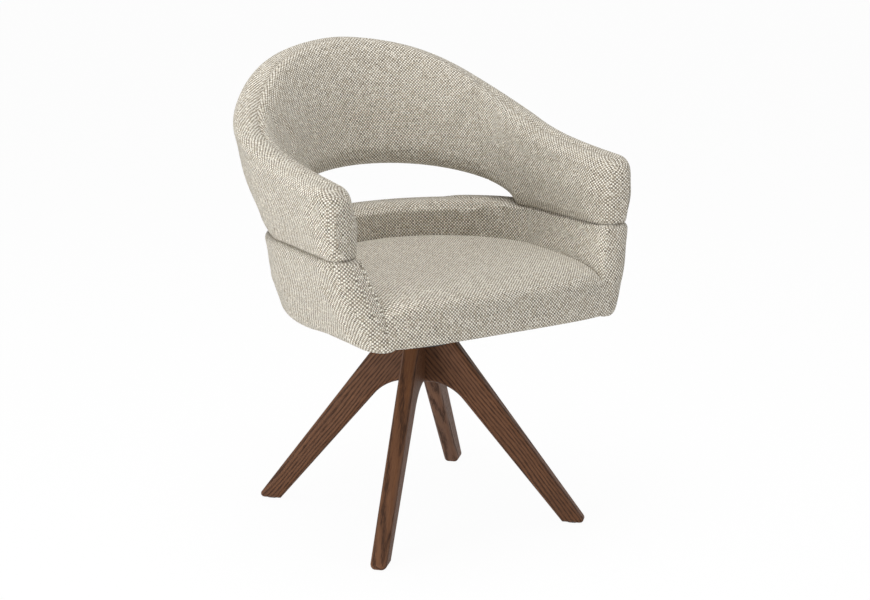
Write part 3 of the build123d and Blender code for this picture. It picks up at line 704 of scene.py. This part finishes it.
def closeUnder(obj):
    # turns the open skin into a closed cushion that rests on the board and hangs in front of it
    restZ, footZ, behindY = (seatPad[key] * mm for key in ("restZ", "footZ", "behindY"))
    hangIn, restIn = seatPad["hangIn"], seatPad["restIn"]
    bm = bmesh.new()
    bm.from_mesh(obj.data)
    edges = [e for e in bm.edges if e.is_boundary]
    for stage in (0, 1):
        made = bmesh.ops.extrude_edge_only(bm, edges=edges)["geom"]
        for vert in (g for g in made if isinstance(g, bmesh.types.BMVert)):
            x, y, z = vert.co
            if stage == 0 and z < footZ + 2 * mm:
                vert.co = (x * hangIn, behindY, footZ + mm)
            else:
                vert.co = (x * restIn, y * restIn if y > behindY else behindY, restZ)
        edges = [e for e in made if isinstance(e, bmesh.types.BMEdge) and e.is_boundary]
    bmesh.ops.remove_doubles(bm, verts=bm.verts, dist=0.05 * mm)
    bmesh.ops.holes_fill(bm, edges=[e for e in bm.edges if e.is_boundary], sides=0)
    bm.to_mesh(obj.data)
    bm.free()


def makeCushion():
    grid, rollStart = seatGrid()
    across, deep = grid.shape[:2]
    arcs = np.linalg.norm(np.diff(grid, axis=1), axis=2)
    arcs = np.hstack((np.zeros((across, 1)), np.cumsum(arcs, axis=1)))
    arcs -= arcs[:, rollStart][:, None]
    faces, uvs = [], []
    for i in range(across - 1):
        for j in range(deep - 1):
            corners = ((i, j), (i + 1, j), (i + 1, j + 1), (i, j + 1))
            faces.append(tuple(a * deep + b for a, b in corners))
            uvs.extend((grid[a, b, 0] * mm, arcs[a, b] * mm) for a, b in corners)
    obj = clothMesh("seatCover", grid.reshape(-1, 3) * mm, faces, uvs)
    if obj.data.polygons[len(obj.data.polygons) // 2].normal.z < 0:
        obj.data.flip_normals()
    rim = seatPad["heldRows"]
    held = np.ones((across, deep), dtype=bool)
    held[rim:-rim, rim:-rim] = False
    settle(obj, held.ravel(), seatPad["swell"])
    refine(obj)
    closeUnder(obj)
    smoothOut(obj)
    # no seams on the cushion, so no painted seam shade
    store(obj.data, "seam", np.zeros(len(obj.data.vertices)))
    return obj


seatCover = makeCushion()
print("cushion", len(seatCover.data.polygons))


# Shader writing: a socket that takes part in plain sums

class Value:
    def __init__(self, look, socket):
        self.look = look
        self.socket = socket

    def sum(self, operation, *others, first=None):
        parts = [self if first is None else first, *others]
        return self.look.node("ShaderNodeMath", {"operation": operation}, dict(enumerate(parts)))

    def __add__(self, other):
        return self.sum("ADD", other)

    def __radd__(self, other):
        return self.sum("ADD", other)

    def __sub__(self, other):
        return self.sum("SUBTRACT", other)

    def __rsub__(self, other):
        return self.sum("SUBTRACT", self, first=other)

    def __mul__(self, other):
        return self.sum("MULTIPLY", other)

    def __truediv__(self, other):
        return self.sum("DIVIDE", other)

    def __pow__(self, other):
        return self.sum("POWER", other)

    def __mod__(self, other):
        return self.sum("FLOORED_MODULO", other)

    def __abs__(self):
        return self.sum("ABSOLUTE")

    def floor(self):
        return self.sum("FLOOR")

    def fract(self):
        return self.sum("FRACT")

    def sin(self):
        return self.sum("SINE")

    def highest(self, other):
        return self.sum("MAXIMUM", other)

    def lowest(self, other):
        return self.sum("MINIMUM", other)


class Look:
    # one material or world, with one way to make its nodes
    def __init__(self, owner, shader="Principled BSDF"):
        self.owner = owner
        owner.use_nodes = True
        self.tree = owner.node_tree
        self.shader = self.tree.nodes[shader]

    def node(self, kind, settings=None, inputs=None, output=0):
        node = self.tree.nodes.new(kind)
        for key, value in (settings or {}).items():
            if key == "stops":
                ramp = node.color_ramp
                while len(ramp.elements) < len(value):
                    ramp.elements.new(1.0)
                for element, (stop, colour) in zip(ramp.elements, value):
                    element.position = stop
                    element.color = (*colour, 1.0)
            else:
                setattr(node, key, value)
        for key, value in (inputs or {}).items():
            self.feed(node.inputs[key], value)
        return Value(self, node.outputs[output])

    def feed(self, socket, value):
        if isinstance(value, Value):
            self.tree.links.new(value.socket, socket)
        elif hasattr(socket.default_value, "__len__"):
            socket.default_value = tuple(value) + (1.0,) * (len(socket.default_value) - len(value))
        else:
            socket.default_value = value

    def set(self, **inputs):
        for key, value in inputs.items():
            self.feed(self.shader.inputs[key.replace("_", " ")], value)

    def mix(self, share, first, second, blendType="MIX"):
        settings = {"data_type": "RGBA", "blend_type": blendType, "clamp_factor": True}
        return self.node("ShaderNodeMix", settings, {0: share, 6: first, 7: second}, output=2)

    def ramp(self, value, *stops):
        return self.node("ShaderNodeValToRGB", {"stops": stops}, {0: value})

    def greys(self, value, low, high, dark=0.0, light=1.0):
        return self.ramp(value, (low, (dark,) * 3), (high, (light,) * 3))

    def noise(self, spot, scale, detail=2.0, roughness=0.5):
        inputs = {"Vector": spot, "Scale": scale, "Detail": detail, "Roughness": roughness}
        return self.node("ShaderNodeTexNoise", {}, inputs)

    def bump(self, height, strength, distance):
        inputs = {"Height": height, "Strength": strength, "Distance": distance}
        return self.node("ShaderNodeBump", {}, inputs)

    def mapping(self, vector, **turns):
        return self.node("ShaderNodeMapping", {"vector_type": "POINT"}, {"Vector": vector, **turns})

    def split(self, vector):
        made = self.node("ShaderNodeSeparateXYZ", {}, {0: vector})
        return tuple(Value(self, output) for output in made.socket.node.outputs)

    def join(self, x, y, z):
        return self.node("ShaderNodeCombineXYZ", {}, {0: x, 1: y, 2: z})

    def objectSpot(self):
        return self.node("ShaderNodeTexCoord", output="Object")

    def clothSpot(self):
        return self.node("ShaderNodeUVMap", {"uv_map": "cloth"})

    def seenPlainly(self):
        # 1 for camera and glossy rays, 0 for the light that falls on the chair
        camera = self.node("ShaderNodeLightPath", output="Is Camera Ray")
        return camera.highest(self.node("ShaderNodeLightPath", output="Is Glossy Ray"))


# Cloth: a coarse plain weave of pale warp and darker, flecked weft

weave = {
    "pitch": 0.0029,
    "wander": 0.0032,        # how far threads stray from their rows
    "wanderScales": (110.0, 96.0),   # and how often, along and across
    "fullness": 0.6,         # the lower, the squarer a thread looks across
    "dive": 0.45,            # how far a thread goes down at the ends of a stitch
    "weftHeight": 0.8,
    "white": (0.94, 0.90, 0.80),
    "pale": (0.88, 0.83, 0.72),
    "cream": (0.70, 0.64, 0.53),
    "taupe": (0.33, 0.28, 0.21),
    "dark": (0.15, 0.12, 0.088),
    # painted shade: the gap tone darkens the hollows between threads
    "gap": (0.05, 0.04, 0.028),
    "gapShadeStrength": 0.85,
    "gapShadePower": 1.6,
    "patchScale": 6.0,       # wide, faint patches
    "patchTones": (0.42, 0.60),
    "patchShare": 0.10,
    # painted shade in the seam creases
    "seamShadeStrength": 0.55,
    "hairScale": 2600.0,
    "hairHeight": 0.25,
    "relief": 0.0009,
    "bump": 0.8,
    "surface": {"Roughness": 0.92, "Sheen_Weight": 0.12, "Sheen_Roughness": 0.6,
                "Specular_IOR_Level": 0.12},
}


def makeCloth():
    look = Look(bpy.data.materials.new("basketCloth"))
    spot = look.clothSpot()
    u, v = look.split(spot)[:2]
    u, v = (straight + (look.noise(spot, scale, 3.0) - 0.5) * weave["wander"]
            for straight, scale in zip((u, v), weave["wanderScales"]))
    across, down = u / weave["pitch"], v / weave["pitch"]
    column, row = across.floor(), down.floor()
    warpOver = (column + row) % 2.0
    humpX = (across.fract() * math.pi).sin()
    humpY = (down.fract() * math.pi).sin()
    fullness, dive = weave["fullness"], weave["dive"]
    warpHeight = humpX**fullness * (humpY * dive + (1 - dive))
    weftHeight = humpY**fullness * (humpX * dive + (1 - dive)) * weave["weftHeight"]
    height = warpOver * warpHeight + (1 - warpOver) * weftHeight
    cell = look.join(column, row, 0.0)
    fleck = look.node("ShaderNodeTexWhiteNoise", {"noise_dimensions": "2D"}, {"Vector": cell})
    warpTone = look.ramp(fleck, (0.0, weave["cream"]), (0.3, weave["pale"]),
                         (0.7, weave["white"]), (1.0, weave["white"]))
    weftTone = look.ramp(fleck, (0.0, weave["dark"]), (0.4, weave["taupe"]),
                         (0.85, weave["taupe"]), (1.0, weave["cream"]))
    tone = look.mix(warpOver, weftTone, warpTone)
    # painted shade in the hollows between threads: the lower the weave lies, the closer its colour
    # comes to the gap tone
    hollow = 1 - height.lowest(1.0)
    tone = look.mix(hollow ** weave["gapShadePower"] * weave["gapShadeStrength"], tone, weave["gap"])
    patches = look.noise(spot, weave["patchScale"], 3.0)
    patches = look.greys(patches, 0.3, 0.7, *weave["patchTones"])
    tone = look.mix(weave["patchShare"], tone, patches, "OVERLAY")
    # painted shade along the seams, darker where they are pressed in
    seam = look.node("ShaderNodeAttribute", {"attribute_name": "seam"}, output="Fac")
    tone = look.mix(seam * weave["seamShadeStrength"], tone, weave["dark"])
    hair = look.noise(spot, weave["hairScale"]) * weave["hairHeight"]
    normal = look.bump(height + hair, weave["bump"], weave["relief"])
    look.set(Base_Color=tone, Normal=normal, **weave["surface"])
    return look.owner


# Wood: open-grained, walnut stain, grain along each leg

wood = {
    "slope": 51.2,           # how steeply the boards stand, in degrees
    "swivelY": -0.015,
    "ringPitch": 0.0062,
    "base": (0.104, 0.041, 0.016),
    "light": (0.172, 0.074, 0.032),
    "dark": (0.056, 0.022, 0.010),
    "pore": (0.020, 0.008, 0.004),
    "relief": 0.0004,
    "bump": 0.35,
    "slowWander": 0.026,     # how far the rings stray, over long and over short lengths
    "quickWander": 0.005,
    "thickTilt": 0.35,
    "poreDepth": 0.75,
    "patchShare": 0.35,
    "patchTones": (0.38, 0.66),
    "roughness": 0.5,
    "poreRoughness": 0.25,
    "gloss": 0.22,
}


def makeWood(name, angle, seed):
    look = Look(bpy.data.materials.new(name))
    spot = look.mapping(look.objectSpot(), Location=(0, -wood["swivelY"], 0))
    spot = look.mapping(spot, Rotation=(0, 0, -math.radians(angle)))
    spot = look.mapping(spot, Rotation=(0, -math.radians(wood["slope"]), 0),
                        Location=(seed * 0.37, 0, seed * 0.11))
    grainWay, thick, wide = look.split(spot)

    def figure(length, width, detail=2.0, roughness=0.5, shift=0.0):
        # noise drawn out along the grain
        streaks = look.join(grainWay * length, thick * width, wide * width + shift)
        return look.noise(streaks, 1.0, detail, roughness)

    slow = figure(3.0, 12.0)
    ripple = figure(7.0, 30.0, 3.0, shift=seed)
    rings = wide + thick * wood["thickTilt"]
    rings = rings + (slow - 0.5) * wood["slowWander"] + (ripple - 0.5) * wood["quickWander"]
    band = (rings * (2 * math.pi / wood["ringPitch"])).sin() * 0.5 + 0.5
    fibre = figure(22.0, 900.0, 3.0, 0.6)
    pores = figure(55.0, 1500.0)
    pore = look.split(look.greys(pores * 0.65 + band * 0.2 + fibre * 0.15, 0.50, 0.60))[0]
    tone = look.mix(band * 0.35 + 0.3, wood["light"], wood["base"])
    tone = look.mix(look.greys(fibre, 0.35, 0.65), tone, look.mix(0.5, tone, wood["dark"]))
    tone = look.mix(pore * wood["poreDepth"], tone, wood["pore"])
    patches = look.greys(figure(4.0, 9.0), 0.35, 0.68, *wood["patchTones"])
    tone = look.mix(wood["patchShare"], tone, patches, "OVERLAY")
    look.set(Base_Color=tone, Roughness=wood["roughness"] + pore * wood["poreRoughness"],
             Specular_IOR_Level=wood["gloss"],
             Normal=look.bump(fibre * 0.2 - pore * 0.6, wood["bump"], wood["relief"]))
    return look.owner


# Plain finishes, each with a little life

finishes = {
    "beech": {"tone": (0.56, 0.40, 0.23), "rough": 0.6, "metal": 0.0, "grain": 40.0},
    "plywood": {"tone": (0.58, 0.43, 0.26), "rough": 0.65, "metal": 0.0, "grain": 25.0},
    "blackSteel": {"tone": (0.022, 0.022, 0.024), "rough": 0.45, "metal": 0.0, "grain": 900.0},
    "zincSteel": {"tone": (0.52, 0.53, 0.55), "rough": 0.34, "metal": 1.0, "grain": 300.0},
    "bronze": {"tone": (0.58, 0.40, 0.19), "rough": 0.38, "metal": 1.0, "grain": 300.0},
    "glideBlack": {"tone": (0.018, 0.018, 0.018), "rough": 0.6, "metal": 0.0, "grain": 700.0},
}


def makeFinish(name, facts):
    look = Look(bpy.data.materials.new(name))
    spot = look.objectSpot()
    fine = look.noise(spot, facts["grain"], 3.0)
    darker = tuple(c * 0.82 for c in facts["tone"])
    look.set(
        Base_Color=look.mix(look.noise(spot, 14.0), darker, facts["tone"]),
        Roughness=facts["rough"] - 0.06 + fine * 0.12,
        Metallic=facts["metal"],
        Normal=look.bump(fine, 0.12, 0.0002),
    )
    return look.owner


lining = {"dark": (0.012, 0.012, 0.013), "light": (0.035, 0.035, 0.037), "threads": 2600.0}


def makeLining():
    look = Look(bpy.data.materials.new("liningCloth"))
    spot = look.objectSpot()
    x, y = look.split(spot)[:2]
    threads = abs((x * lining["threads"]).sin() * (y * lining["threads"]).sin())
    fibre = look.noise(spot, 400.0, 4.0)
    look.set(Base_Color=look.mix(fibre, lining["dark"], lining["light"]), Roughness=0.9,
             Normal=look.bump(threads + fibre, 0.3, 0.0003))
    return look.owner


cloth = makeCloth()
made = {name: makeFinish(name, facts) for name, facts in finishes.items()}
made["lining"] = makeLining()
print("materials")


def dress(obj, material):
    obj.data.materials.clear()
    obj.data.materials.append(material)


padded = ((bandCover, "back_band", 0.9), (wallCover, "lower_wrap", 0.9),
          (seatCover, "seat_cushion", 0.85))
for piece, node, fill in padded:
    dress(piece, cloth)
    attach(piece, "seat")
    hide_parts(node)

legAngles = {"back_right": 45, "back_left": 135, "front_left": 225, "front_right": 315}
for number, (corner, angle) in enumerate(legAngles.items()):
    dress(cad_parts["leg_" + corner], makeWood("legWood" + str(number), angle, number + 1.0))
    dress(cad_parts["glide_" + corner], made["glideBlack"])

plainPieces = {
    "beech": ("leg_dowels",),
    "plywood": ("seat_board", "front_rail", "lower_frame", "back_frame"),
    "lining": ("dust_cover",),
    "blackSteel": ("swivel_housing", "swivel_top_plate", "upper_race"),
    "bronze": ("ball_cage", "housing_bushing"),
    "zincSteel": (
        "arm_studs", "bearing_balls", "cover_staples", "glide_nails", "housing_screws", "pan_screws",
        "pivot_nut", "pivot_shaft", "pivot_washer", "tee_nuts", "top_plate_bolts"),
}
for finish, nodes in plainPieces.items():
    for node in nodes:
        dress(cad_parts[node], made[finish])
print("dressed")


# Floor, light and camera

studio = {
    "floorTone": (0.93, 0.93, 0.93),
    "floorGlow": 0.96,
    "worldStrength": 0.40,
    "lamps": {               # place, aim, size and power
        "keyLamp": ((-2.85, -0.8, 0.65), (0, 0, 0.5), 1.5, 50.0),
        "fillLamp": ((1.4, -2.8, 1.2), (0, 0, 0.45), 2.4, 18.0),
        "topLamp": ((-0.3, -0.1, 3.0), (0, 0, 0.5), 2.0, 51.0),
    },
}
view = {"azimuth": -31.94, "elevation": 14.21, "place": (-1.5518, -2.5550, 1.1341), "lens": 74.13}


def addToScene(name, data, spot):
    obj = bpy.data.objects.new(name, data)
    bpy.context.collection.objects.link(obj)
    obj.location = spot
    return obj


def makeFloor():
    bpy.ops.object.select_all(action="DESELECT")
    bpy.ops.mesh.primitive_plane_add(size=24.0, location=(0, 0, 0))
    floor = bpy.context.object
    floor.name = "studioFloor"
    look = Look(bpy.data.materials.new("paleFloor"))
    look.set(Base_Color=studio["floorTone"], Roughness=0.9)
    plain = Value(look, look.shader.outputs[0])
    glow = look.node("ShaderNodeEmission", {}, {"Color": (1, 1, 1), "Strength": 1.0})
    share = look.seenPlainly() * studio["floorGlow"]
    mixed = look.node("ShaderNodeMixShader", {}, {0: share, 1: plain, 2: glow})
    look.tree.links.new(mixed.socket, look.tree.nodes["Material Output"].inputs["Surface"])
    dress(floor, look.owner)


def makeLight():
    for name, (spot, aim, size, power) in studio["lamps"].items():
        lamp = bpy.data.lights.new(name, "AREA")
        lamp.shape = "DISK"
        lamp.size = size
        lamp.energy = power
        way = Vector(aim) - Vector(spot)
        addToScene(name, lamp, spot).rotation_euler = way.to_track_quat("-Z", "Y").to_euler()
    world = bpy.data.worlds.new("studioWorld")
    bpy.context.scene.world = world
    look = Look(world, "Background")
    level = studio["worldStrength"]
    look.set(Color=(1, 1, 1), Strength=look.seenPlainly() * (1 - level) + level)


def makeCamera():
    camera = bpy.data.cameras.new("photoCamera")
    camera.lens = view["lens"]
    camera.sensor_fit = "HORIZONTAL"
    camera.sensor_width = 36.0
    camera.clip_end = 60.0
    obj = addToScene("photoCamera", camera, view["place"])
    obj.rotation_euler = (math.radians(90 - view["elevation"]), 0, math.radians(view["azimuth"]))
    bpy.context.scene.camera = obj


makeFloor()
makeLight()
makeCamera()
bpy.context.scene.view_settings.view_transform = "Standard"
print("studio and camera")
